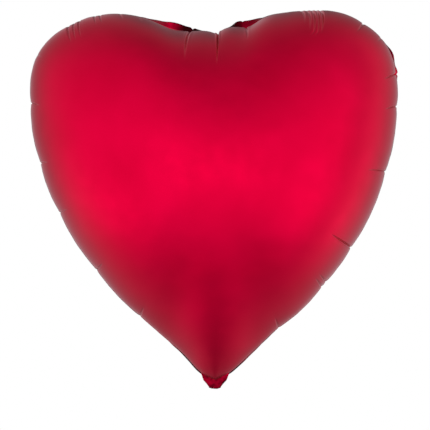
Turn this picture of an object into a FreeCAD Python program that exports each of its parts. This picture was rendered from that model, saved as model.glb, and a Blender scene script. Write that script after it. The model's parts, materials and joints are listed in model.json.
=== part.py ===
"""Heart-shaped foil balloon, inflated, hanging by the neck below its tip.

Two foil sheets are heat sealed to each other all round. Below the tip they run on as a flat filling neck, which is
folded back behind the balloon, and a flat one-way valve of two films lies in the neck and reaches up inside.

Frame: +Z up, the front sheet faces -Y, X is across. The origin is the centre of the neck, where a ribbon is tied.
Millimetres. The foil is drawn thicker than it is, so that it can be meshed.
"""

import FreeCAD, Part

import math
import os

from FreeCAD import Vector

# Overall size
WIDTH = 750.0               # across the lobes
HEIGHT_UNFOLDED = 805.0     # lobe tops to the mouth of the tail, once the tail hangs straight
DEPTH = 340.0               # front to back, at the middle of the heart

# Sheets and films
WALL = 1.0                  # foil sheet
SEAM_THICK = 1.2            # the sealed margin, both sheets fused
FILM = 0.4                  # valve film

# Heart outline, right half, from the notch to the tip, as shares of half the width and as heights
SIDE_BULGE = 1.1            # the curve runs this far outside its widest point
HALF_WIDTH = WIDTH / 2 - SIDE_BULGE
NOTCH_Z = 708.0
LOBE_TOP_Z = 760.0
TIP_Z = 10.0
OUTLINE = [
    (0.0, NOTCH_Z),
    (0.25 * HALF_WIDTH, 741.0),
    (0.53 * HALF_WIDTH, LOBE_TOP_Z),
    (0.80 * HALF_WIDTH, 733.0),
    (0.955 * HALF_WIDTH, 676.0),
    (HALF_WIDTH, 562.0),
    (0.93 * HALF_WIDTH, 430.0),
    (0.72 * HALF_WIDTH, 270.0),
    (0.41 * HALF_WIDTH, 139.0),
    (0.21 * HALF_WIDTH, 74.0),
    (0.06 * HALF_WIDTH, 20.5),
    (0.0, TIP_Z),
]
NOTCH_DIRECTION = Vector(1.0, 0.0, 0.42)
TIP_DIRECTION = Vector(-1.0, 0.0, -0.45)

# Sealed margin: how far it stands outside the domes
MARGIN = 4.0
MARGIN_AT_NOTCH = 11.0      # widest, on the slopes beside the notch
NOTCH_MARGIN_AT = 0.06      # share of the half outline, from the notch, where it is widest
NOTCH_MARGIN_SPREAD = 0.04
SEAM_OVERLAP = 3.0          # how far it reaches inside the domes' walls

# Dome: each half of the balloon
CENTRE_Z = 440.0
ROUND_RADIUS = 330.0        # level lines turn from the heart's outline towards a circle of this radius
PROFILE_POWER = 2.1
EDGE_POWER_SIDE = 0.52      # the sheet leaves the seam square on
EDGE_POWER_TIP = 0.80       # and as a cone at the tip
TIP_SPREAD = 0.22           # share of the half outline over which the tip's cone fades
LEVEL_ANGLES = [0, 12, 24, 36, 47, 57, 66, 74, 81, 86]
OUTLINE_STEPS = 44

# Filling neck, from the tip down to the crease, and the tail beyond the crease
NECK_TOP_Z = 26.0
NECK_HALF_WIDTHS = [(NECK_TOP_Z, 28.0), (8.0, 22.0), (0.0, 17.0)]
CREASE_HALF_WIDTH = 12.5
CREASE_Z = -6.2
SIDE_SEAM = 4.0
TAIL_MOUTH_HALF_WIDTH = 17.0
TAIL_FOLD_DEG = 140.0       # from hanging straight to folded back
CREASE_GAP = 0.6            # between the neck's end and the tail's, when straight
HINGE_BEHIND = 0.3          # the crease line, behind the neck's rear ply
TAIL_LENGTH = HEIGHT_UNFOLDED - LOBE_TOP_Z + CREASE_Z - CREASE_GAP
STACK = SEAM_THICK / 2 + WALL
HINGE_Y = STACK + HINGE_BEHIND
HINGE_Z = CREASE_Z - CREASE_GAP / 2

# Valve
VALVE_HALF_WIDTH = 16.0
VALVE_MOUTH_HALF_WIDTH = 11.0
VALVE_MOUTH_Z = -3.0
VALVE_SHOULDER_Z = 14.0
FLAP_ROOT_Z = 34.0          # the films are free of the neck above here
FLAP_GAP = 0.6
FLAP_TOP_Z = 125.0
VALVE_CLEARANCE = 0.1       # from the seam plane to each film, and from film to ply


def save(shape, node):
    """Write one node's solids, and say how large they are."""
    solids = shape.Solids
    for solid in solids:
        if not solid.isValid() or solid.Volume <= 0:
            raise ValueError(node + " is not a sound solid")
    whole = solids[0] if len(solids) == 1 else Part.makeCompound(solids)
    whole.exportStep(os.path.join("parts", node + ".step"))
    box = whole.BoundBox
    sizes = (node, len(solids), box.XLength, box.YLength, box.ZLength, whole.Volume / 1000)
    print("%-20s solids %d  %.1f x %.1f x %.1f mm  %.2f cm3" % sizes)


def bump(share, middle, spread):
    return math.exp(-((share - middle) / spread) ** 2)


def half_outline():
    """The right half of the whole outline, notch to tip, as a spline."""
    points = [Vector(x, 0, z) for x, z in OUTLINE]
    curve = Part.BSplineCurve()
    curve.interpolate(Points=points, InitialTangent=NOTCH_DIRECTION, FinalTangent=TIP_DIRECTION)
    return curve


def outline_points(curve, inset):
    """Points of the closed outline, from the notch round the right lobe to the tip and back.

    inset(share) is how far inside the curve each point lies; share runs from 0 at the notch to 1 at the tip.
    """
    length = curve.length()
    right = []
    for i in range(OUTLINE_STEPS + 1):
        share = i / OUTLINE_STEPS
        parameter = curve.parameterAtDistance(share * length)
        point = curve.value(parameter)
        along = Vector(curve.tangent(parameter)[0])
        inward = Vector(-along.z, 0, along.x)
        if inward.dot(Vector(0, 0, CENTRE_Z) - point) < 0:
            inward = inward * -1
        right.append((point + inward * inset(share), share))
    # the two ends stay on the centre line, where the two halves' insets meet
    right[0] = (Vector(0, 0, right[0][0].z - 0.3 * inset(0)), 0.0)
    right[-1] = (Vector(0, 0, right[-1][0].z), 1.0)
    left = [(Vector(-p.x, p.y, p.z), share) for p, share in right[1:-1]]
    return right + left[::-1] + [right[0]]


def closed_wire(points):
    curve = Part.BSplineCurve()
    curve.interpolate(points)
    return Part.Wire([curve.toShape()])


def dome_inset(extra=0.0):
    def inset(share):
        at_notch = (MARGIN_AT_NOTCH - MARGIN) * bump(share, NOTCH_MARGIN_AT, NOTCH_MARGIN_SPREAD)
        return MARGIN + at_notch + extra
    return inset


def level_line(rim, height_share, y):
    """One level line of a dome: the rim drawn in towards the centre, and rounded as it goes."""
    centre = Vector(0, 0, CENTRE_Z)
    points = []
    for point, share in rim:
        power = EDGE_POWER_SIDE + (EDGE_POWER_TIP - EDGE_POWER_SIDE) * bump(share, 1.0, TIP_SPREAD)
        rho = (1 - height_share ** (1 / power)) ** (1 / PROFILE_POWER)
        ray = point - centre
        outward = Vector(ray).normalize()
        place = centre + ray * rho * rho + outward * ROUND_RADIUS * rho * (1 - rho)
        points.append(Vector(place.x, y, place.z))
    return closed_wire(points)


def dome(curve, extra, depth, base_y):
    """A solid dome towards -Y, standing on the plane y = base_y."""
    rim = outline_points(curve, dome_inset(extra))
    wires = []
    for angle in LEVEL_ANGLES:
        height_share = math.sin(math.radians(angle))
        wires.append(level_line(rim, height_share, base_y - depth * height_share))
    return Part.makeLoft(wires, True)


def panel(curve):
    """The front sheet's dome, as a shell."""
    base_y = -SEAM_THICK / 2
    depth = DEPTH / 2 - SEAM_THICK / 2
    outer = dome(curve, 0.0, depth, base_y)
    inner = dome(curve, WALL, depth - WALL, base_y)
    return outer.cut(inner)


def plate(corners, y_low, y_high):
    """A flat plate in the XZ plane, symmetric in X: corners are (height, half width), top to bottom."""
    right = [Vector(half, y_low, z) for z, half in corners]
    left = [Vector(-half, y_low, z) for z, half in corners[::-1]]
    loop = right + left
    return Part.Face(Part.makePolygon(loop + [loop[0]])).extrude(Vector(0, y_high - y_low, 0))


def neck_outline():
    return NECK_HALF_WIDTHS + [(CREASE_Z, CREASE_HALF_WIDTH)]


def neck_channel(down_to):
    """The room between the neck's side seams, from inside the heart down to a height."""
    inside = [(z, half - SIDE_SEAM) for z, half in neck_outline()]
    top = [(NECK_TOP_Z + 40.0, inside[0][1])]
    end = [(down_to, inside[-1][1])]
    return plate(top + inside + end, -SEAM_THICK, SEAM_THICK)


def seam_margin(curve):
    """The sealed margin: an open ring round the heart, whose ends run down both sides of the neck."""
    low = -SEAM_THICK / 2
    edge = [p for p, _ in outline_points(curve, lambda share: 0.0)]
    hole = [p for p, _ in outline_points(curve, dome_inset(WALL + SEAM_OVERLAP))]
    shift = Vector(0, low, 0)
    outer = Part.Face(closed_wire([p + shift for p in edge])).extrude(Vector(0, SEAM_THICK, 0))
    inner = Part.Face(closed_wire([p + shift for p in hole])).extrude(Vector(0, SEAM_THICK, 0))
    sides = plate(neck_outline(), low, -low)
    return outer.fuse(sides).cut(inner).cut(neck_channel(CREASE_Z - 1.0))


def neck_ply(curve, facing):
    """The sheet over the neck below the dome; facing is -1 at the front and 1 at the back."""
    y_near = facing * SEAM_THICK / 2
    y_far = facing * STACK
    ply = plate(neck_outline(), min(y_near, y_far), max(y_near, y_far))
    rim = [p for p, _ in outline_points(curve, dome_inset(-0.2))]
    low = -2 * STACK
    room = Part.Face(closed_wire([p + Vector(0, low, 0) for p in rim])).extrude(Vector(0, -2 * low, 0))
    return ply.cut(room)


def fold_back(shape):
    """Turn a tail piece, drawn hanging straight, up behind the balloon about the crease."""
    turned = shape.copy()
    turned.rotate(Vector(0, HINGE_Y, HINGE_Z), Vector(1, 0, 0), TAIL_FOLD_DEG)
    return turned


def tail_outline(inset=0.0):
    top = CREASE_Z - CREASE_GAP
    return [(top, CREASE_HALF_WIDTH - inset), (top - TAIL_LENGTH, TAIL_MOUTH_HALF_WIDTH - inset)]


def tail_ply(facing):
    y_near = facing * SEAM_THICK / 2
    y_far = facing * STACK
    return fold_back(plate(tail_outline(), min(y_near, y_far), max(y_near, y_far)))


def tail_side_seams():
    low = -SEAM_THICK / 2
    room = plate(tail_outline(SIDE_SEAM), low, -low)
    return fold_back(plate(tail_outline(), low, -low).cut(room))


def valve_film(facing, corners):
    y_near = facing * VALVE_CLEARANCE
    y_far = facing * (VALVE_CLEARANCE + FILM)
    return plate(corners, min(y_near, y_far), max(y_near, y_far))


def main():
    os.makedirs("parts", exist_ok=True)
    curve = half_outline()

    front = panel(curve)
    save(front, "front_panel")
    save(front.mirror(Vector(0, 0, 0), Vector(0, 1, 0)), "back_panel")
    save(seam_margin(curve), "seam_margin")

    sleeve = [
        (FLAP_ROOT_Z - FLAP_GAP, VALVE_HALF_WIDTH),
        (VALVE_SHOULDER_Z, VALVE_HALF_WIDTH),
        (VALVE_MOUTH_Z, VALVE_MOUTH_HALF_WIDTH),
    ]
    flap = [(FLAP_TOP_Z, VALVE_HALF_WIDTH), (FLAP_ROOT_Z, VALVE_HALF_WIDTH)]
    for side, facing in (("front", -1), ("back", 1)):
        save(neck_ply(curve, facing), "neck_%s_ply" % side)
        save(tail_ply(facing), "tail_%s_ply" % side)
        save(valve_film(facing, sleeve), "valve_%s_sleeve" % side)
        save(valve_film(facing, flap), "valve_%s_flap" % side)
    save(tail_side_seams(), "tail_side_seams")


main()
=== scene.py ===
"""Looks for the heart-shaped foil balloon.

Two puckered foil sheets, their sealed edge, and the folded neck and tail are made here; the valve's films are
the CAD's own. Metres. +Z is up and the front sheet faces -Y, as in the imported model. Bearings are degrees
clockwise from straight up, about the middle of the heart, as the front shows it.
"""

import json
import math

import bpy
import numpy as np
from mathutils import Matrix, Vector


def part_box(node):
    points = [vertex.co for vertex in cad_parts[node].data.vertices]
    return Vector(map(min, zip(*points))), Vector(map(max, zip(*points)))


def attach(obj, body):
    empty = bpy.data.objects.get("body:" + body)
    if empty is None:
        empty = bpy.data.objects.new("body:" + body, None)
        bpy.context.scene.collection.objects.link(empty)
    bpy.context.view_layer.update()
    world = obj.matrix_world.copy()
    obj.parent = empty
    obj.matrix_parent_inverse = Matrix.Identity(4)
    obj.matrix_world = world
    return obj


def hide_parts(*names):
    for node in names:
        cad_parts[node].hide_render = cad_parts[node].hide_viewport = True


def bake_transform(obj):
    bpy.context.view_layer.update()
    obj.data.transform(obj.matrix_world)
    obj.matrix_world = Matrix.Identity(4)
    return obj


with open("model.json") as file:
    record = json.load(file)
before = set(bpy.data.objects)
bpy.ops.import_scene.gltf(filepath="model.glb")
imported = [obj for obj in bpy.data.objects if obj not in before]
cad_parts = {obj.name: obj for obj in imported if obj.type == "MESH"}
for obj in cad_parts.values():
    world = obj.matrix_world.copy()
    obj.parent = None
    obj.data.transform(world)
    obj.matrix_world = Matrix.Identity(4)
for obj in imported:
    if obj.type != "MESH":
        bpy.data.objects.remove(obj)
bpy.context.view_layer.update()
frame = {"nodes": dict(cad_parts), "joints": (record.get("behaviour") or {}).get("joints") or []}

MM = 0.001
TINY = 1e-12                    # keeps a division by nothing away

# ---------------------------------------------------------------- sizes, from the frame
seam_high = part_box("seam_margin")[1]
panel_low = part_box("front_panel")[0]
neck_low, neck_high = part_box("neck_front_ply")
HINGE = next(j for j in frame["joints"] if j["name"] == "tail_fold")
HINGE_Y, HINGE_Z = HINGE["pos_m"][1], HINGE["pos_m"][2]
FOLD = math.radians(HINGE["range_deg"][1])      # the tail is folded this far at rest

SIDE_BULGE = 1.1 * MM           # the outline's curve runs this far outside its widest point
HALF_WIDTH = seam_high.x - SIDE_BULGE
LOBE_TOP_Z = seam_high.z
DOME_DEPTH = -panel_low.y       # from the seam's plane to the front
NECK_TOP_Z = neck_high.z
CREASE_Z = neck_low.z

# ---------------------------------------------------------------- the heart's outline
TIP_Z = 10 * MM
OUTLINE = [                     # right half, notch to tip: share of the half width, height
    (0.0, LOBE_TOP_Z - 52 * MM),
    (0.25, LOBE_TOP_Z - 19 * MM),
    (0.53, LOBE_TOP_Z),
    (0.80, LOBE_TOP_Z - 27 * MM),
    (0.955, LOBE_TOP_Z - 84 * MM),
    (1.0, LOBE_TOP_Z - 198 * MM),
    (0.93, LOBE_TOP_Z - 330 * MM),
    (0.72, 270 * MM),
    (0.41, 139 * MM),
    (0.21, 74 * MM),
    (0.06, 20.5 * MM),
    (0.0, TIP_Z),
]
NOTCH_DIRECTION = (1.0, 0.42)
TIP_DIRECTION = (-1.0, -0.45)
CENTRE_Z = 440 * MM

# ---------------------------------------------------------------- the domes
SPLINE_STEPS = 60               # steps of the outline's curve, for each of its points
OUTLINE_STEPS = 2400            # even steps along half of the outline
COLUMNS = 2048                  # points round the rim of the mesh
COLUMN_STEPS = 48000            # steps round the rim from which the columns' places are chosen
PUCKER_CROWDING = 5.0           # how much closer the columns stand in a pucker
CROWDED_REACH = 5 * MM          # and how far to each side of it
RINGS = 84
RING_POWER = 1.5                # rings crowd towards the rim
HALVE_AT = [46, 58, 66, 72, 77]  # rings from which every other column is left out
BEARINGS = 8192                 # bearings at which the base shape is worked out
ROUND_RADIUS = 330 * MM         # level lines turn towards a circle of this radius
PROFILE_POWER = 2.1
EDGE_POWER_SIDE = 0.52
EDGE_POWER_TIP = 0.80
TIP_SPREAD = 38.0               # degrees either side of the tip
SOFTEN = 12.0                   # how far the level lines' corners are rounded at the middle, in degrees
SOFTEN_POWER = 0.7              # how soon that sets in, from the rim
LEAST_SOFTENING = 0.05          # less than this many degrees is left alone
SHEET_THICK = 0.5 * MM
SEAM_HALF = 0.35 * MM           # half the thickness of the sealed edge
RIM_INSET = 0.7 * MM            # from the outline to the dome's rim
NOTCH_INSET = 15.0 * MM         # where the sealed edge shows, beside the notch
NOTCH_INSETS = [(-15.5, 7.5), (12.5, 5.5)]      # bearing and spread, left and right

# The real balloon is a little lopsided: where, how far round it reaches, and by how much sideways and up
LOPSIDED = [
    ((0.0, LOBE_TOP_Z), 110 * MM, (6 * MM, 3 * MM)),
    ((5 * MM, LOBE_TOP_Z - 50 * MM), 36 * MM, (-2 * MM, 6 * MM)),
    ((50 * MM, LOBE_TOP_Z - 40 * MM), 40 * MM, (0.0, 5 * MM)),
    ((208 * MM, LOBE_TOP_Z), 130 * MM, (6 * MM, 5 * MM)),
    ((76 * MM, LOBE_TOP_Z - 14 * MM), 46 * MM, (-2 * MM, 8 * MM)),
    ((290 * MM, LOBE_TOP_Z - 60 * MM), 70 * MM, (4 * MM, 2 * MM)),
    ((-208 * MM, LOBE_TOP_Z), 130 * MM, (0.0, -2 * MM)),
    ((-150 * MM, LOBE_TOP_Z), 50 * MM, (0.0, -3 * MM)),
    ((300 * MM, 300 * MM), 150 * MM, (4 * MM, -2 * MM)),
    ((150 * MM, 150 * MM), 110 * MM, (4 * MM, -3 * MM)),
    ((100 * MM, 70 * MM), 40 * MM, (3 * MM, -3 * MM)),
    ((-220 * MM, 190 * MM), 150 * MM, (3 * MM, 1 * MM)),
    ((-60 * MM, 50 * MM), 40 * MM, (4 * MM, 2 * MM)),
    ((0.0, 0.0), 90 * MM, (2 * MM, 0.0)),
]

# ---------------------------------------------------------------- puckers
# bearing at the seam, reach inwards, half width, depth; all but the first in mm
PUCKERS = [
    (-153.0, 46, 1.7, 2.0),
    (-130.5, 60, 1.4, 3.4),
    (-105.8, 64, 1.4, 3.4),
    (-88.0, 58, 1.5, 4.2),
    (-70.2, 62, 1.4, 5.0),
    (-57.0, 42, 1.9, 1.4),
    (-45.2, 80, 2.0, 4.0),
    (-43.4, 84, 1.6, 3.2),
    (-41.8, 84, 1.5, 3.8),
    (-37.6, 64, 1.6, 2.0),
    (-36.2, 64, 1.6, 2.2),
    (-31.0, 56, 1.9, 1.4),
    (-26.0, 58, 2.1, 1.2),
    (-10.3, 146, 2.1, 6.5),
    (1.1, 150, 1.5, 8.5),
    (12.3, 92, 1.8, 2.6),
    (28.2, 88, 1.7, 2.6),
    (29.6, 110, 1.6, 3.6),
    (30.8, 126, 1.6, 4.2),
    (32.0, 126, 1.5, 4.2),
    (33.2, 112, 1.8, 5.2),
    (45.6, 66, 1.8, 4.4),
    (52.0, 44, 2.3, 1.8),
    (62.5, 72, 1.4, 5.4),
    (71.1, 72, 1.3, 5.4),
    (90.7, 94, 1.4, 5.0),
    (119.8, 112, 1.5, 6.2),
    (135.4, 62, 1.5, 3.2),
    (137.6, 62, 1.7, 3.4),
    (158.2, 46, 1.7, 2.2),
]
# some puckers bend on their way in: bearing, reach inwards, sideways drift there, how far round this is felt
DRIFTS = [(-43.5, 86, -27, 60), (-10.3, 150, -26, 30), (12.3, 88, 8, 30), (31.8, 108, 34, 80)]
DRIFT_POWER = 1.3

# a pucker's section: a narrow fold in a broad dent, with a lip at each side; widths in the fold's half widths
FOLD_PART = 0.78                # the narrow fold's part of the depth
DENT_WIDTH = 4.5
LIP_HEIGHT = 0.16               # as a share of the depth
LIP_PLACE, LIP_WIDTH = 2.6, 1.4
NARROWING = 0.45                # how much narrower a pucker is where it ends
DEPTH_AT_RIM = 0.4              # the share of its depth that it starts with
FULL_DEPTH_AT = 7 * MM          # how far in it has all of it
DRAWN_IN = 0.175                # how far a pucker draws the seam in, as a share of its depth
DRAWN_ALONG, DRAWN_INWARDS = 8 * MM, 12.8 * MM

SMALL_PUCKERS = 54              # shallow ones, scattered round the rim
SMALL_REACH, SMALL_WIDTH, SMALL_DEPTH = (8, 26), (2.4, 4.5), (0.25, 0.75)      # mm, from and to
SMALL_AT_RIM = 0.3
PILLOW = 0.020                  # how far the foil bulges between deep puckers, as a share of their spacing
PILLOW_MAX = 2.2 * MM
PILLOW_REACH = 0.45             # how far in, as a share of their spacing, and between these two
PILLOW_REACH_LEAST, PILLOW_REACH_MOST = 6 * MM, 45 * MM
DEEP = 2.0                      # mm; the foil bulges between puckers at least this deep
SWAY_REACH = 0.12 * DOME_DEPTH  # how far from the seam the foil sways with it

# ---------------------------------------------------------------- the sealed edge
EDGE_STRIPS = 6                 # across its width
EDGE_WIDTH = 6.0 * MM
EDGE_WIDTH_AT_NOTCH = 16 * MM
EDGE_WIDTH_LOST_AT_NECK = 3.2 * MM
EDGE_LEAN = 85.0                # degrees from straight out to straight back
EDGE_LEAN_AT_NOTCH = 10.0
LEAN_KEPT_UPPER_RIGHT = 0.25    # the edge stands further out there
LEAN_KEPT_AT_NECK = 0.4
UPPER_RIGHT = [(57.0, 2.2), (62.0, 1.6)]        # bearing and spread
NECK_SPREAD = 12.0              # degrees
EDGE_ENDS = 3.4                 # the edge stops this many degrees short of the neck's middle
EDGE_CURL = 2.2                 # it reaches its full lean this many times sooner than its full width
EDGE_TUCK = 1.5 * MM            # how deep it starts inside the rim
TUCK_STEP = 3.0                 # it is out of the rim this many times sooner than at its full width
BACK = np.array([0.0, 1.0, 0.0])


def bell(value, middle, spread):
    return np.exp(-((value - middle) / spread) ** 2)


def smooth_step(value):
    value = np.clip(value, 0, 1)
    return value * value * (3 - 2 * value)


def lengths_along(points):
    return np.concatenate([[0], np.cumsum(np.linalg.norm(np.diff(points, axis=0), axis=1))])


def bearings_of(points):
    return np.degrees(np.arctan2(points[:, 0], points[:, 1] - CENTRE_Z)) % 360.0


def turn_between(a, b):
    """The difference of two bearings, from -180 to 180."""
    return (a - b + 180.0) % 360.0 - 180.0


def beside_notch(signed):
    """How fully the sealed edge shows beside the notch, by bearing from -180 to 180."""
    return sum(bell(signed, middle, spread) for middle, spread in NOTCH_INSETS)


def spline(points, first, last, count):
    """A smooth curve through points, with its directions at both ends, as count + 1 evenly spaced points."""
    points = np.array(points, float)
    chords = np.linalg.norm(np.diff(points, axis=0), axis=1)
    knots = lengths_along(points)
    size = len(points)
    matrix = np.zeros((size, size))
    known = np.zeros((size, 2))
    matrix[0, 0] = matrix[-1, -1] = 1
    known[0] = np.array(first) / np.linalg.norm(first)
    known[-1] = np.array(last) / np.linalg.norm(last)
    for i in range(1, size - 1):
        before, after = chords[i - 1], chords[i]
        matrix[i, i - 1:i + 2] = [after, 2 * (before + after), before]
        before_slope = (points[i] - points[i - 1]) / before
        after_slope = (points[i + 1] - points[i]) / after
        known[i] = 3 * (after * before_slope + before * after_slope)
    slopes = np.linalg.solve(matrix, known)
    fine = np.linspace(0, knots[-1], SPLINE_STEPS * size)
    place = np.clip(np.searchsorted(knots, fine, side="right") - 1, 0, size - 2)
    span = chords[place][:, None]
    t = (fine - knots[place])[:, None] / span
    start, end = points[place], points[place + 1]
    leave, arrive = slopes[place] * span, slopes[place + 1] * span
    curve = (2 * t**3 - 3 * t**2 + 1) * start + (3 * t**2 - 2 * t**3) * end
    curve += (t**3 - 2 * t**2 + t) * leave + (t**3 - t**2) * arrive
    along = lengths_along(curve)
    even = np.linspace(0, along[-1], count + 1)
    return np.stack([np.interp(even, along, curve[:, k]) for k in range(2)], axis=1)


class Rim:
    """The dome's rim clockwise from the notch: points (x, z), outward directions, bearings, lengths along."""

    def __init__(self):
        half = [(x * HALF_WIDTH, z) for x, z in OUTLINE]
        right = spline(half, NOTCH_DIRECTION, TIP_DIRECTION, OUTLINE_STEPS)
        tip = len(right) - 1
        outline = np.concatenate([right, right[1:-1][::-1] * [-1, 1]])
        tangent = np.roll(outline, -1, axis=0) - np.roll(outline, 1, axis=0)
        outward = np.stack([-tangent[:, 1], tangent[:, 0]], axis=1)
        outward /= np.linalg.norm(outward, axis=1)[:, None]
        outward[0] = (0.0, 1.0)
        outward[tip] = (0.0, -1.0)
        shown = beside_notch(turn_between(bearings_of(outline), 0.0))
        inset = RIM_INSET + (NOTCH_INSET - RIM_INSET) * shown
        points = outline - outward * inset[:, None]
        along = lengths_along(np.concatenate([points, points[:1]]))
        self.length = along[-1]
        along = along[:-1]
        bearing = bearings_of(points)
        bearing[0] = 0.0
        self.marks = np.interp([p[0] % 360.0 for p in PUCKERS], bearing, along)
        self.along = self.column_places(along[tip])
        self.points = self.at_columns(along, points)
        self.outward = self.at_columns(along, outward)
        self.outward /= np.linalg.norm(self.outward, axis=1)[:, None]
        self.bearing = bearings_of(self.points)
        self.bearing[0] = 0.0
        self.signed = turn_between(self.bearing, 0.0)
        self.along_at = (bearing, along)
        self.radius_at = (bearing, np.hypot(points[:, 0], points[:, 1] - CENTRE_Z))

    def away(self, along, mark):
        """The way round the rim from a mark, negative before it."""
        return (along - mark + self.length / 2) % self.length - self.length / 2

    def column_places(self, tip):
        """Where the mesh's columns start: crowded in puckers, with one on the notch and one on the tip."""
        fine = np.linspace(0, self.length, COLUMN_STEPS + 1)
        crowd = np.ones(len(fine))
        for mark in self.marks:
            near = np.exp(-(self.away(fine, mark) / CROWDED_REACH) ** 4)
            crowd = np.maximum(crowd, PUCKER_CROWDING * near)
        total = np.cumsum(crowd) - crowd[0]
        chosen = []
        for first, last in ((0.0, tip), (tip, self.length)):
            ends = np.interp([first, last], fine, total)
            chosen.append(np.interp(np.linspace(*ends, COLUMNS // 2 + 1)[:-1], total, fine))
        return np.concatenate(chosen)

    def at_columns(self, along, pairs):
        """Pairs of values that are given along the rim, taken at the columns instead."""
        taken = [np.interp(self.along, along, pairs[:, k], period=self.length) for k in (0, 1)]
        return np.stack(taken, axis=1)


RIM = Rim()
GRID = np.arange(BEARINGS) * 360.0 / BEARINGS


def softened(radius, degrees):
    """A radius given at every bearing of the grid, averaged over so many degrees round about."""
    if degrees < LEAST_SOFTENING:
        return radius
    waves = np.fft.rfftfreq(BEARINGS, 1.0 / BEARINGS)
    damp = np.exp(-0.5 * (waves * math.radians(degrees)) ** 2)
    return np.fft.irfft(np.fft.rfft(radius) * damp, BEARINGS)


def base_profile():
    """The front dome before it puckers: each ring's height, its radius and how far in it lies, by bearing."""
    rim_radius = np.interp(GRID, *RIM.radius_at, period=360.0)
    tip = bell(np.abs(turn_between(GRID, 0.0)), 180.0, TIP_SPREAD)
    power = EDGE_POWER_SIDE + (EDGE_POWER_TIP - EDGE_POWER_SIDE) * tip
    heights, radii = [], []
    for j in range(RINGS):
        height = math.sin(math.radians(90.0) * (j / RINGS) ** RING_POWER)
        rho = (1 - height ** (1 / power)) ** (1 / PROFILE_POWER)
        radius = rim_radius * rho * rho + ROUND_RADIUS * rho * (1 - rho)
        radii.append(softened(radius, SOFTEN * (1 - float(rho.mean())) ** SOFTEN_POWER))
        heights.append(height * (DOME_DEPTH - SEAM_HALF))
    radii = np.array(radii)
    steps = np.hypot(np.diff(radii, axis=0), np.diff(np.array(heights))[:, None])
    reach_in = np.concatenate([np.zeros((1, BEARINGS)), np.cumsum(steps, axis=0)])
    return heights, radii, reach_in


HEIGHTS, RADII, REACH_IN = base_profile()


def at_bearings(table, ring, bearings):
    """A table's values in one ring, at any bearings."""
    place = bearings % 360.0 * BEARINGS / 360.0
    first = np.floor(place).astype(int)
    part = place - first
    row = table[ring]
    return row[first % BEARINGS] * (1 - part) + row[(first + 1) % BEARINGS] * part


def drifted(bearing, along, ring):
    """Bearings that start at the rim and bend with the puckers' drift, at one ring."""
    bent = bearing.copy()
    for middle, reach, drift, spread in DRIFTS:
        mark = np.array([middle % 360.0])
        share = min(1.0, at_bearings(REACH_IN, ring, mark)[0] / (reach * MM))
        away = RIM.away(along, np.interp(mark, *RIM.along_at))
        turn = math.degrees(drift * MM * share ** DRIFT_POWER / at_bearings(RADII, 0, mark)[0])
        bent += turn * bell(away, 0, spread * MM)
    return bent


def small_puckers():
    """Shallow puckers scattered round the rim, the same on every run: (along, reach, half width, depth)."""
    rng = np.random.default_rng(17)
    return [(rng.uniform(0, RIM.length), rng.uniform(*SMALL_REACH) * MM, rng.uniform(*SMALL_WIDTH) * MM,
             rng.uniform(*SMALL_DEPTH) * MM) for _ in range(SMALL_PUCKERS)]


def pillows(reach_in):
    """The foil's bulge between neighbouring deep puckers, at the rim and fading inwards."""
    at = np.sort([mark for mark, p in zip(RIM.marks, PUCKERS) if p[3] >= DEEP])
    place = np.searchsorted(at, RIM.along, side="right")
    before = np.where(place == 0, at[-1] - RIM.length, at[place - 1])
    after = np.where(place == len(at), at[0] + RIM.length, at[place % len(at)])
    gap = after - before
    swell = np.clip(np.sin(np.pi * (RIM.along - before) / gap), 0, 1) ** 0.8
    high = np.minimum(PILLOW * gap, PILLOW_MAX)
    far = np.clip(PILLOW_REACH * gap, PILLOW_REACH_LEAST, PILLOW_REACH_MOST)
    return high * swell * np.exp(-(reach_in / far) ** 1.5)


def reach_behind(number):
    """How far in a pucker runs on the back sheet, against the front: unevenly, 0.6 to 1.32 times as far."""
    return 0.6 + 0.08 * (number * 37 % 10)


def pucker_section(side, half_width):
    """How far the foil stands out across a pucker one unit deep: down in the fold, up at the lips."""
    fold = FOLD_PART * np.exp(-np.abs(side / half_width) ** 1.5)
    dent = (1 - FOLD_PART) * bell(side, 0, DENT_WIDTH * half_width)
    lips = LIP_HEIGHT * bell(np.abs(side), LIP_PLACE * half_width, LIP_WIDTH * half_width)
    return lips - fold - dent


def grown(at_rim, share):
    """A depth that starts at a part of itself at the rim and is whole where share reaches 1."""
    return at_rim + (1 - at_rim) * smooth_step(share)


def pucker_amount(bearings, reach_in, radius, behind):
    """How far each point of a dome stands out of its base, along the normal."""
    amount = pillows(reach_in)
    marks = np.array([p[0] for p in PUCKERS])
    lines = np.array([drifted(marks, RIM.marks, j) for j in range(RINGS)])
    for i, (_, reach, width, depth) in enumerate(PUCKERS):
        reach, width, depth = reach * MM, width * MM, depth * MM
        if behind:
            reach *= reach_behind(i)
        side = np.radians(turn_between(bearings, lines[:, i:i + 1])) * radius
        share = np.clip(reach_in / reach, 0, 1)
        fade = grown(DEPTH_AT_RIM, reach_in / FULL_DEPTH_AT) * (1 - share ** 2)
        amount += depth * fade * pucker_section(side, width * (1 - NARROWING * share))
        drawn = DRAWN_IN * depth * np.exp(-np.abs(side) / DRAWN_ALONG)
        amount -= drawn * np.exp(-reach_in / DRAWN_INWARDS)
    for mark, reach, width, depth in small_puckers():
        share = np.clip(reach_in / reach, 0, 1)
        fade = grown(SMALL_AT_RIM, 4 * share) * (1 - share)
        amount -= depth * fade * bell(RIM.away(RIM.along, mark), 0, width)
    return amount


def normals_of(rings):
    """Outward normals of a grid of rings, which runs clockwise and inwards."""
    around = np.roll(rings, -1, axis=1) - np.roll(rings, 1, axis=1)
    inward = np.gradient(rings, axis=0)
    normal = np.cross(around, inward)
    normal /= np.maximum(np.linalg.norm(normal, axis=2, keepdims=True), TINY)
    middle = rings - np.array([0.0, 0.0, CENTRE_Z])
    return normal if (normal * middle).sum() > 0 else -normal


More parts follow.
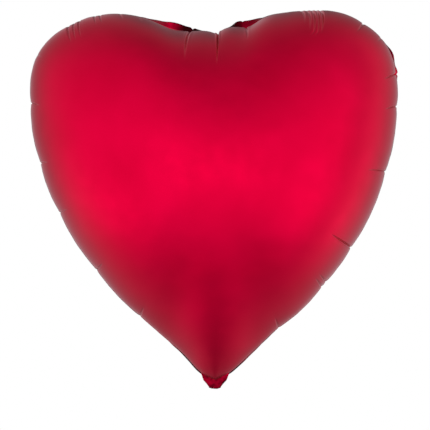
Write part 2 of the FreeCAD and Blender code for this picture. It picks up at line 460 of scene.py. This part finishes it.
def waver(seed, wavelengths, size):
    """A smooth irregular wave round the rim, the same on every run. Wavelengths are shares of the rim."""
    rng = np.random.default_rng(seed)
    total = np.zeros(COLUMNS)
    for length in wavelengths:
        start = rng.uniform(0, 2 * np.pi)
        total += np.sin(2 * np.pi * RIM.along / RIM.length / length + start) * rng.uniform(0.6, 1.0)
    return size * total / len(wavelengths)


SEAM_SWAY = waver(5, [1 / 7, 1 / 16, 1 / 31], 1.6 * MM)


def lopsided(points):
    """The balloon's lopsidedness, as a gentle shift of points."""
    shift = np.zeros_like(points)
    for (x, z), spread, (sideways, up) in LOPSIDED:
        near = np.exp(-((points[..., 0] - x) ** 2 + (points[..., 2] - z) ** 2) / spread ** 2)
        shift[..., 0] += near * sideways
        shift[..., 2] += near * up
    return points + shift


def dome_rings(behind):
    """A finished dome, front or back, as rings of points from the rim to the middle."""
    bearings = np.array([drifted(RIM.bearing, RIM.along, j) for j in range(RINGS)])
    radius = np.array([at_bearings(RADII, j, bearings[j]) for j in range(RINGS)])
    reach_in = np.array([at_bearings(REACH_IN, j, bearings[j]) for j in range(RINGS)])
    radius[0] = np.hypot(RIM.points[:, 0], RIM.points[:, 1] - CENTRE_Z)
    turn = np.radians(bearings)
    depth = -np.repeat(np.array(HEIGHTS)[:, None], COLUMNS, axis=1)
    rings = np.stack([np.sin(turn) * radius, depth, np.cos(turn) * radius + CENTRE_Z], axis=2)
    rings += normals_of(rings) * pucker_amount(bearings, reach_in, radius, behind)[..., None]
    rings[0, :, 1] = 0.0
    rings[:, :, 1] = np.minimum(rings[:, :, 1], 0.0) - SEAM_HALF
    if behind:
        rings[..., 1] *= -1
    rings[..., 1] += SEAM_SWAY * np.exp(-np.abs(rings[..., 1]) / SWAY_REACH)
    return lopsided(rings)


def stitch(outer, inner):
    """Faces between two rings of vertex numbers; the inner ring may have half as many."""
    faces = []
    count = len(inner)
    if len(outer) == count:
        for k in range(count):
            n = (k + 1) % count
            faces.append((outer[k], outer[n], inner[n], inner[k]))
        return faces
    for k in range(count):
        n = (k + 1) % count
        a, b, c = outer[2 * k], outer[2 * k + 1], outer[(2 * k + 2) % len(outer)]
        faces += [(a, b, inner[k]), (b, inner[n], inner[k]), (b, c, inner[n])]
    return faces


def mesh_object(name, points, faces, smooth=True):
    mesh = bpy.data.meshes.new(name)
    mesh.from_pydata([tuple(p) for p in points], [], faces)
    mesh.validate()
    mesh.polygons.foreach_set("use_smooth", [smooth] * len(mesh.polygons))
    mesh.update()
    piece = bpy.data.objects.new(name, mesh)
    bpy.context.scene.collection.objects.link(piece)
    return piece


def thicken(piece, thickness, offset):
    modifier = piece.modifiers.new("thickness", "SOLIDIFY")
    modifier.thickness = thickness
    modifier.offset = offset


def make_sheet(name, behind):
    """One foil sheet: a dome of rings that thin out towards its middle."""
    rings = dome_rings(behind)
    points, faces, previous = [], [], None
    stride = 1
    for j in range(RINGS):
        if j in HALVE_AT:
            stride *= 2
        chosen = rings[j, ::stride]
        numbers = list(range(len(points), len(points) + len(chosen)))
        points.extend(chosen)
        if previous is not None:
            faces += stitch(previous, numbers)
        previous = numbers
    middle = len(points)
    top = rings[-1].mean(axis=0)
    top[1] = DOME_DEPTH if behind else -DOME_DEPTH
    points.append(top)
    for k in range(len(previous)):
        faces.append((previous[k], previous[(k + 1) % len(previous)], middle))
    if not behind:
        faces = [tuple(reversed(f)) for f in faces]
    sheet = mesh_object(name, points, faces)
    thicken(sheet, SHEET_THICK, -1)
    return sheet


def edge_lean_and_width():
    """How far the sealed edge leans back, in radians, and how wide it is, at each column."""
    shown = beside_notch(RIM.signed)
    upper_right = sum(bell(RIM.signed, middle, spread) for middle, spread in UPPER_RIGHT)
    neck = bell(np.abs(RIM.signed), 180.0, NECK_SPREAD)
    lean = EDGE_LEAN + waver(11, [1 / 23, 1 / 41, 1 / 67], 12.0)
    flat = EDGE_LEAN_AT_NOTCH + waver(3, [1 / 30, 1 / 53], 18.0)
    lean = lean * (1 - shown) + flat * shown
    lean *= (1 - (1 - LEAN_KEPT_UPPER_RIGHT) * upper_right) * (1 - (1 - LEAN_KEPT_AT_NECK) * neck)
    width = EDGE_WIDTH + (EDGE_WIDTH_AT_NOTCH - EDGE_WIDTH) * shown - EDGE_WIDTH_LOST_AT_NECK * neck
    return np.radians(lean), width


def edge_section(rim_point, out, tangent, lean, width):
    """The sealed edge's section at one column: one face from root to rim, then the other face."""
    section = []
    for side in (1, -1):
        for i in range(EDGE_STRIPS + 1):
            share = i / EDGE_STRIPS
            curl = lean * min(1.0, EDGE_CURL * share)
            direction = out * math.cos(curl) + BACK * math.sin(curl)
            lift = np.cross(tangent, direction)
            lift *= -math.copysign(1.0, lift[1]) / np.linalg.norm(lift)
            tucked = EDGE_TUCK * (1 - min(1.0, TUCK_STEP * share))
            section.append(rim_point - out * tucked + direction * width * share + lift * SEAM_HALF * side)
    return section


def edge_faces(sections):
    """The faces of a ribbon of so many sections: both sides, both long edges and both ends."""
    across = EDGE_STRIPS + 1
    per = 2 * across
    last = (sections - 1) * per
    faces = []
    for a in range(0, last, per):
        b = a + per
        for i in range(EDGE_STRIPS):
            faces.append((a + i, a + i + 1, b + i + 1, b + i))
            faces.append((a + across + i, b + across + i, b + across + i + 1, a + across + i + 1))
        faces.append((a + EDGE_STRIPS, a + across + EDGE_STRIPS, b + across + EDGE_STRIPS, b + EDGE_STRIPS))
        faces.append((a, b, b + across, a + across))
    for a in (0, last):
        one_side = list(range(a, a + across))
        faces.append(tuple(one_side + [n + across for n in reversed(one_side)]))
    return faces


def make_sealed_edge(name):
    """The sealed edge: a ribbon that stands out of the rim, leans back, and wavers."""
    base = dome_rings(False)[0]
    base[:, 1] += SEAM_HALF
    tangent = np.roll(base, -1, axis=0) - np.roll(base, 1, axis=0)
    tangent /= np.linalg.norm(tangent, axis=1)[:, None]
    out = np.stack([RIM.outward[:, 0], np.zeros(COLUMNS), RIM.outward[:, 1]], axis=1)
    lean, width = edge_lean_and_width()
    kept = np.flatnonzero(np.abs(RIM.signed) < 180.0 - EDGE_ENDS)
    kept = np.concatenate([kept[kept > COLUMNS // 2], kept[kept <= COLUMNS // 2]])
    points = []
    for k in kept:
        points += edge_section(base[k], out[k], tangent[k], lean[k], width[k])
    return mesh_object(name, points, edge_faces(len(kept)))


# ---------------------------------------------------------------- neck and tail
CREASE_HALF_WIDTH = 12 * MM
NECK_HEIGHTS = [CREASE_Z, 0.0, 8 * MM, NECK_TOP_Z]
NECK_HALF_WIDTHS = [CREASE_HALF_WIDTH, 16.5 * MM, 24 * MM, 31 * MM]
FOLD_HALF_WIDTH = 9 * MM        # half way round the fold
TAIL_LENGTH = 38.2 * MM
MOUTH_HALF_WIDTH = 17 * MM
NECK_ROWS, FOLD_ROWS, TAIL_ROWS = 26, 11, 30
STRIP_ACROSS = 48
PLY_OFFSET = 1.1 * MM           # each ply's middle, in front of and behind the seam's plane
PLY_THICK = 0.3 * MM
SIDE_SEAM = 4 * MM
LONG_FOLDS = 7                  # soft folds along each ply
RIPPLE, RIPPLE_LENGTH, RIPPLE_SLANT = 0.25 * MM, 5.5 * MM, 3


def strip_path(offset):
    """One ply of the neck and tail seen from the side, as rows of (y, z, half width)."""
    rows = []
    for z in np.linspace(NECK_TOP_Z, CREASE_Z, NECK_ROWS):
        rows.append((offset, z, np.interp(z, NECK_HEIGHTS, NECK_HALF_WIDTHS)))
    radius = HINGE_Y - offset
    for angle in np.linspace(0, FOLD, FOLD_ROWS + 2)[1:-1]:
        half = CREASE_HALF_WIDTH + (FOLD_HALF_WIDTH - CREASE_HALF_WIDTH) * math.sin(angle / FOLD * math.pi)
        rows.append((HINGE_Y - radius * math.cos(angle), HINGE_Z - radius * math.sin(angle), half))
    start_y = HINGE_Y - radius * math.cos(FOLD)
    start_z = HINGE_Z - radius * math.sin(FOLD)
    for step in np.linspace(0, 1, TAIL_ROWS):
        y = start_y + math.sin(FOLD) * TAIL_LENGTH * step
        z = start_z - math.cos(FOLD) * TAIL_LENGTH * step
        rows.append((y, z, CREASE_HALF_WIDTH + (MOUTH_HALF_WIDTH - CREASE_HALF_WIDTH) * step))
    return np.array(rows)


def make_strip(name, front):
    """One ply of the neck and tail, a thin sheet bulged a little between its side seams."""
    flat = strip_path(0.0)
    path = strip_path(-PLY_OFFSET if front else PLY_OFFSET)
    rng = np.random.default_rng(21 if front else 22)
    folds = [(rng.uniform(-0.8, 0.8), rng.uniform(0.05, 0.12), rng.uniform(-0.35, 0.35) * MM)
             for _ in range(LONG_FOLDS)]
    points = []
    for seam, ply, along in zip(flat[:, :2], path, lengths_along(path[:, :2])):
        middle, half = ply[:2], ply[2]
        normal = (middle - seam) / np.linalg.norm(middle - seam)
        for across in np.linspace(-1, 1, STRIP_ACROSS + 1):
            swell = smooth_step((1 - abs(across)) * half / SIDE_SEAM)
            ripple = sum(size * bell(across, where, wide) for where, wide, size in folds)
            ripple += RIPPLE * math.sin(along / RIPPLE_LENGTH + RIPPLE_SLANT * across)
            place = seam * (1 - swell) + middle * swell + normal * (ripple * swell + PLY_THICK)
            points.append((across * half, place[0], place[1]))
    faces = []
    width = STRIP_ACROSS + 1
    for r in range(len(path) - 1):
        for a in range(r * width, r * width + STRIP_ACROSS):
            quad = (a, a + 1, a + width + 1, a + width)
            faces.append(quad if front else tuple(reversed(quad)))
    strip = mesh_object(name, lopsided(np.array(points)), faces)
    thicken(strip, PLY_THICK, 1)
    return strip


# ---------------------------------------------------------------- materials
FOIL_RED = (0.80, 0.0004, 0.046, 1.0)
FOIL_RED_DEEP = (0.72, 0.0003, 0.038, 1.0)
FOIL_PALE = (0.80, 0.40, 0.46, 1.0)      # satin foil turns pale where it is seen edge on
SEALED_RED = (0.74, 0.001, 0.040, 1.0)
SEALED_RED_DEEP = (0.50, 0.0008, 0.026, 1.0)
# painted shade: the sealed edge's colour is darkened by x beside the notch, beside the neck and at the upper
# right, standing in for the shade in its tight folds there: x and brightness
SEALED_PAINTED_SHADE = [(-0.160, 0.55), (-0.140, 1.0), (-0.090, 1.0), (-0.074, 0.40), (-0.060, 0.09), (0.052, 0.09),
                (0.066, 0.55), (0.094, 0.55), (0.108, 0.2), (0.140, 0.9), (0.335, 0.9), (0.350, 0.25),
                (0.366, 0.3), (0.373, 0.9)]
# painted shade: the neck and tail are a darker copy of the foil's red, for the shade and the dark
# surroundings that the folded neck reflects; they are mottled between these two at random
NECK_SHADED_RED = (0.42, 0.001, 0.022, 1.0)
NECK_SHADED_RED_DEEP = (0.05, 0.0002, 0.003, 1.0)
PALE_POWER = 3.0
NOISE_LOW, NOISE_HIGH = 0.3, 0.7         # a noise's usual range
CLOUD_SCALE, NECK_CLOUD_SCALE = 9.0, 75.0
PATCH_SCALE, WAVE_SCALE, GRAIN_SCALE = 35.0, 14.0, 900.0
HAZE_SCALE, CRINKLE_SCALE = 60.0, 220.0


def feed(tree, value, socket):
    """Links an output to a socket, or sets the socket to a plain value."""
    if isinstance(value, bpy.types.NodeSocket):
        tree.links.new(value, socket)
    else:
        socket.default_value = value


def mix_colours(tree, how, factor, first, second):
    mix = tree.nodes.new("ShaderNodeMix")
    mix.data_type = "RGBA"
    mix.blend_type = how
    feed(tree, factor, mix.inputs["Factor"])
    feed(tree, first, mix.inputs["A"])
    feed(tree, second, mix.inputs["B"])
    return mix.outputs["Result"]


def map_range(tree, source, from_low, from_high, low, high):
    stretch = tree.nodes.new("ShaderNodeMapRange")
    stretch.inputs["From Min"].default_value = from_low
    stretch.inputs["From Max"].default_value = from_high
    stretch.inputs["To Min"].default_value = low
    stretch.inputs["To Max"].default_value = high
    tree.links.new(source, stretch.inputs["Value"])
    return stretch.outputs["Result"]


def colour_ramp(tree, source, low, high, stops):
    """A grey that follows source from low to high: stops are (value, grey)."""
    ramp = tree.nodes.new("ShaderNodeValToRGB")
    elements = ramp.color_ramp.elements
    while len(elements) < len(stops):
        elements.new(1.0)
    for element, (value, grey) in zip(elements, stops):
        element.position = (value - low) / (high - low)
        element.color = (grey, grey, grey, 1)
    tree.links.new(map_range(tree, source, low, high, 0.0, 1.0), ramp.inputs["Fac"])
    return ramp.outputs["Color"]


def object_place(tree):
    return tree.nodes.new("ShaderNodeTexCoord").outputs["Object"]


def split_axes(tree, vector):
    parts = tree.nodes.new("ShaderNodeSeparateXYZ")
    tree.links.new(vector, parts.inputs["Vector"])
    return [parts.outputs[axis] for axis in "XYZ"]


def add_noise(tree, scale, detail):
    noise = tree.nodes.new("ShaderNodeTexNoise")
    noise.inputs["Scale"].default_value = scale
    noise.inputs["Detail"].default_value = detail
    tree.links.new(object_place(tree), noise.inputs["Vector"])
    return noise.outputs["Fac"]


def noise_between(tree, scale, detail, low, high):
    return map_range(tree, add_noise(tree, scale, detail), NOISE_LOW, NOISE_HIGH, low, high)


def add_bump(tree, heights, shader):
    """Chained bumps: each is (height output, strength, distance)."""
    normal = None
    for height, strength, distance in heights:
        bump = tree.nodes.new("ShaderNodeBump")
        bump.inputs["Strength"].default_value = strength
        bump.inputs["Distance"].default_value = distance
        tree.links.new(height, bump.inputs["Height"])
        if normal is not None:
            tree.links.new(normal, bump.inputs["Normal"])
        normal = bump.outputs["Normal"]
    tree.links.new(normal, shader.inputs["Normal"])


def new_material(name):
    material = bpy.data.materials.new(name)
    material.use_nodes = True
    tree = material.node_tree
    return material, tree, tree.nodes["Principled BSDF"]


def foil_material(name, rough_low, rough_high, bright, deep, cloud_scale=CLOUD_SCALE):
    """Metallised film, paler edge on, with clouds in its colour, a fine grain and soft waves."""
    material, tree, shader = new_material(name)
    shader.inputs["Metallic"].default_value = 1.0
    colour = mix_colours(tree, "MIX", noise_between(tree, cloud_scale, 2.0, 0.0, 1.0), bright, deep)
    edge_on = tree.nodes.new("ShaderNodeLayerWeight")
    edge_on.inputs["Blend"].default_value = 0.5
    pale = tree.nodes.new("ShaderNodeMath")
    pale.operation = "POWER"
    tree.links.new(edge_on.outputs["Facing"], pale.inputs[0])
    pale.inputs[1].default_value = PALE_POWER
    tinted = mix_colours(tree, "MIX", pale.outputs["Value"], colour, FOIL_PALE)
    tree.links.new(tinted, shader.inputs["Base Color"])
    tree.links.new(noise_between(tree, PATCH_SCALE, 3.0, rough_low, rough_high), shader.inputs["Roughness"])
    wave = (add_noise(tree, WAVE_SCALE, 1.0), 0.25, 4 * MM)
    grain = (add_noise(tree, GRAIN_SCALE, 2.0), 0.10, 0.3 * MM)
    add_bump(tree, [wave, grain], shader)
    return material


def paint_shade_along_x(material, stops):
    """Multiplies a foil's colour by a brightness that changes with x: painted shade."""
    tree = material.node_tree
    base = tree.nodes["Principled BSDF"].inputs["Base Color"]
    x = split_axes(tree, object_place(tree))[0]
    shade = colour_ramp(tree, x, -HALF_WIDTH, HALF_WIDTH, stops)
    tree.links.new(mix_colours(tree, "MULTIPLY", 1.0, base.links[0].from_socket, shade), base)


def film_material(name):
    """Clear polyethylene film of the valve."""
    material, tree, shader = new_material(name)
    shader.inputs["Base Color"].default_value = (0.86, 0.90, 0.93, 1.0)
    shader.inputs["Transmission Weight"].default_value = 0.75
    shader.inputs["IOR"].default_value = 1.5
    tree.links.new(noise_between(tree, HAZE_SCALE, 3.0, 0.12, 0.32), shader.inputs["Roughness"])
    add_bump(tree, [(add_noise(tree, CRINKLE_SCALE, 4.0), 0.3, 0.4 * MM)], shader)
    return material


# ---------------------------------------------------------------- stage
PICTURE_CENTRE = (0.0025, 346 * MM)
PICTURE_SIDE = 0.880
LENS, SENSOR = 100.0, 36.0
FLOOR_Z = -0.42                 # the balloon floats, and the picture's frame ends above the floor
FLOOR_REACH = 1.75
FLOOR_SOLID_TO = 0.9            # it fades from here out
FLOOR_CORNERS = 96
KEY_PLACE, KEY_AIM = (0.0, -3.6, 0.6), (0.0, 0.0, 0.4)
KEY_SIZE, KEY_POWER = (2.6, 1.2), 4


def make_camera():
    data = bpy.data.cameras.new("camera")
    data.lens = LENS
    data.sensor_width = SENSOR
    camera = bpy.data.objects.new("camera", data)
    camera.location = (PICTURE_CENTRE[0], -PICTURE_SIDE * LENS / SENSOR, PICTURE_CENTRE[1])
    camera.rotation_euler = (math.radians(90), 0, 0)
    bpy.context.scene.collection.objects.link(camera)
    bpy.context.scene.camera = camera


def make_key_light():
    data = bpy.data.lights.new("key", "AREA")
    data.shape = "RECTANGLE"
    data.size, data.size_y = KEY_SIZE
    data.energy = KEY_POWER
    light = bpy.data.objects.new("key", data)
    light.location = KEY_PLACE
    light.rotation_euler = (Vector(KEY_AIM) - Vector(KEY_PLACE)).to_track_quat("-Z", "Y").to_euler()
    bpy.context.scene.collection.objects.link(light)


# The studio's brightness by the direction that the foil reflects, from -1 to 1 along X, Y and Z.
# By height, in front of the balloon and round about; the front's share by Y
FRONT_LIGHT = [(-1.0, 0.27), (-0.8, 0.36), (-0.64, 0.47), (-0.5, 0.72), (-0.34, 0.98), (-0.18, 1.12),
               (0.0, 1.14), (0.14, 1.04), (0.35, 0.94), (0.6, 0.83), (0.8, 0.63), (0.92, 0.46), (1.0, 0.36)]
ROUND_LIGHT = [(-1.0, 0.36), (-0.75, 0.42), (-0.5, 0.56), (-0.2, 0.60), (0.0, 0.60), (0.4, 0.64), (0.8, 0.56),
               (1.0, 0.47)]
FRONT_SHARE = [(-1.0, 1.0), (-0.35, 1.0), (0.0, 0.5), (0.35, 0.0), (1.0, 0.0)]
# What is left of it by Y, and by X
BEHIND_SHARE = [(-1.0, 1.0), (-0.4, 1.0), (-0.1, 0.88), (0.1, 0.83), (0.45, 0.70), (0.8, 0.80), (1.0, 1.0)]
ACROSS = [(-1.0, 0.86), (-0.6, 0.90), (-0.2, 1.0), (1.0, 1.0)]
# More light low down at both sides: by X, and how much of that counts by Z and by Y
LOW_SIDES = [(-1.0, 1.9), (-0.7, 1.95), (-0.5, 1.6), (-0.24, 1.0), (0.24, 1.0), (0.5, 1.36), (0.7, 1.68),
             (1.0, 1.75)]
LOW_SHARE = [(-1.0, 0.5), (-0.85, 0.95), (-0.7, 1.0), (-0.58, 1.0), (-0.42, 0.9), (-0.15, 0.0), (1.0, 0.0)]
LOW_FRONT = [(-1.0, 1.0), (0.05, 1.0), (0.45, 0.4), (0.8, 0.0), (1.0, 0.0)]
# A dark gap at the right between two bright edges: by Y, and how much of that counts by X
RIGHT_GAP = [(-1.0, 0.98), (-0.8, 1.0), (-0.6, 1.34), (-0.48, 0.5), (-0.34, 0.5), (-0.2, 1.3), (0.0, 1.0),
             (1.0, 1.0)]
RIGHT_SHARE = [(-1.0, 0.0), (0.45, 0.0), (0.7, 1.0), (1.0, 1.0)]
# A dark stand above the camera: what it takes away by X, times by Z
STAND_ACROSS = [(-1.0, 0.0), (-0.2, 0.0), (-0.03, 1.0), (0.12, 1.0), (0.3, 0.6), (0.6, 0.3), (0.78, 0.0),
                (1.0, 0.0)]
STAND_UP = [(-1.0, 0.0), (-0.3, 0.0), (-0.05, 0.10), (0.1, 0.17), (0.35, 0.42), (0.75, 0.27), (1.0, 0.0)]


def studio_light(tree):
    """The studio's brightness, worked out from the tables above."""
    where = tree.nodes.new("ShaderNodeTexCoord")
    x, y, z = split_axes(tree, where.outputs["Generated"])

    def by(axis, stops):
        return colour_ramp(tree, axis, -1.0, 1.0, stops)

    def times(share, light, amount):
        return mix_colours(tree, "MULTIPLY", share, light, amount)

    light = mix_colours(tree, "MIX", by(y, FRONT_SHARE), by(z, ROUND_LIGHT), by(z, FRONT_LIGHT))
    light = times(1.0, light, by(y, BEHIND_SHARE))
    light = times(1.0, light, by(x, ACROSS))
    light = times(times(1.0, by(z, LOW_SHARE), by(y, LOW_FRONT)), light, by(x, LOW_SIDES))
    light = times(by(x, RIGHT_SHARE), light, by(y, RIGHT_GAP))
    stand = times(1.0, by(x, STAND_ACROSS), by(z, STAND_UP))
    return mix_colours(tree, "SUBTRACT", 1.0, light, stand)


def make_world():
    """White to the camera, and a studio to everything else."""
    world = bpy.data.worlds.new("studio")
    bpy.context.scene.world = world
    world.use_nodes = True
    tree = world.node_tree
    tree.nodes.clear()
    room = tree.nodes.new("ShaderNodeBackground")
    tree.links.new(studio_light(tree), room.inputs["Color"])
    seen = tree.nodes.new("ShaderNodeBackground")
    seen.inputs["Color"].default_value = (1, 1, 1, 1)
    path = tree.nodes.new("ShaderNodeLightPath")
    mix = tree.nodes.new("ShaderNodeMixShader")
    tree.links.new(path.outputs["Is Camera Ray"], mix.inputs["Fac"])
    tree.links.new(room.outputs["Background"], mix.inputs[1])
    tree.links.new(seen.outputs["Background"], mix.inputs[2])
    out = tree.nodes.new("ShaderNodeOutputWorld")
    tree.links.new(mix.outputs["Shader"], out.inputs["Surface"])


def floor_material():
    """Matt and pale, fading to nothing towards the rim of the floor."""
    material, tree, shader = new_material("pale_floor")
    shader.inputs["Base Color"].default_value = (0.9, 0.9, 0.9, 1.0)
    shader.inputs["Roughness"].default_value = 0.8
    shader.inputs["Emission Color"].default_value = (1, 1, 1, 1)
    shader.inputs["Emission Strength"].default_value = 0.3
    flat = tree.nodes.new("ShaderNodeVectorMath")
    flat.operation = "MULTIPLY"
    flat.inputs[1].default_value = (1, 1, 0)
    tree.links.new(object_place(tree), flat.inputs[0])
    length = tree.nodes.new("ShaderNodeVectorMath")
    length.operation = "LENGTH"
    tree.links.new(flat.outputs["Vector"], length.inputs[0])
    fade = tree.nodes.new("ShaderNodeMapRange")
    fade.interpolation_type = "SMOOTHSTEP"
    fade.inputs["From Min"].default_value = FLOOR_SOLID_TO
    fade.inputs["From Max"].default_value = FLOOR_REACH
    fade.inputs["To Min"].default_value = 1.0
    fade.inputs["To Max"].default_value = 0.0
    tree.links.new(length.outputs["Value"], fade.inputs["Value"])
    tree.links.new(fade.outputs["Result"], shader.inputs["Alpha"])
    return material


def make_floor():
    """A round pale floor that fades out, well below the floating balloon."""
    turns = np.linspace(0, 2 * np.pi, FLOOR_CORNERS + 1)[:-1]
    ring = [(FLOOR_REACH * math.cos(a), FLOOR_REACH * math.sin(a), FLOOR_Z) for a in turns]
    floor = mesh_object("floor", ring, [tuple(range(FLOOR_CORNERS))], smooth=False)
    floor.data.materials.append(floor_material())
    floor.visible_glossy = False


def paint(piece, material):
    piece.data.materials.clear()
    piece.data.materials.append(material)


make_camera()
make_world()
make_floor()
bpy.context.scene.view_settings.view_transform = "Standard"
make_key_light()

satin = foil_material("foil_satin_red", 0.33, 0.40, FOIL_RED, FOIL_RED_DEEP)
sealed = foil_material("foil_sealed_red_and_painted_shade", 0.18, 0.28, SEALED_RED, SEALED_RED_DEEP)
# painted shade on the sealed edge's colour, by x: beside the notch, beside the neck and at the upper right
paint_shade_along_x(sealed, SEALED_PAINTED_SHADE)
# the neck's darker red is painted shade
glossy_shaded_neck = foil_material("foil_neck_red_painted_shade", 0.16, 0.30, NECK_SHADED_RED, NECK_SHADED_RED_DEEP, NECK_CLOUD_SCALE)
film = film_material("valve_film_clear")

front_sheet = make_sheet("foil_front_sheet", False)
paint(front_sheet, satin)
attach(front_sheet, "balloon")
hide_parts("front_panel")

back_sheet = make_sheet("foil_back_sheet", True)
paint(back_sheet, satin)
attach(back_sheet, "balloon")
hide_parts("back_panel")

edge = make_sealed_edge("sealed_edge")
paint(edge, sealed)
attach(edge, "balloon")
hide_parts("seam_margin")

for front in (True, False):
    side = "front" if front else "back"
    strip = make_strip("neck_tail_" + side, front)
    paint(strip, glossy_shaded_neck)
    nodes = ["neck_%s_ply" % side, "tail_%s_ply" % side]
    if not front:
        nodes.append("tail_side_seams")
    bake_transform(strip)
    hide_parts(*nodes)

for name, node in frame["nodes"].items():
    if name.startswith("valve_"):
        paint(node, film)
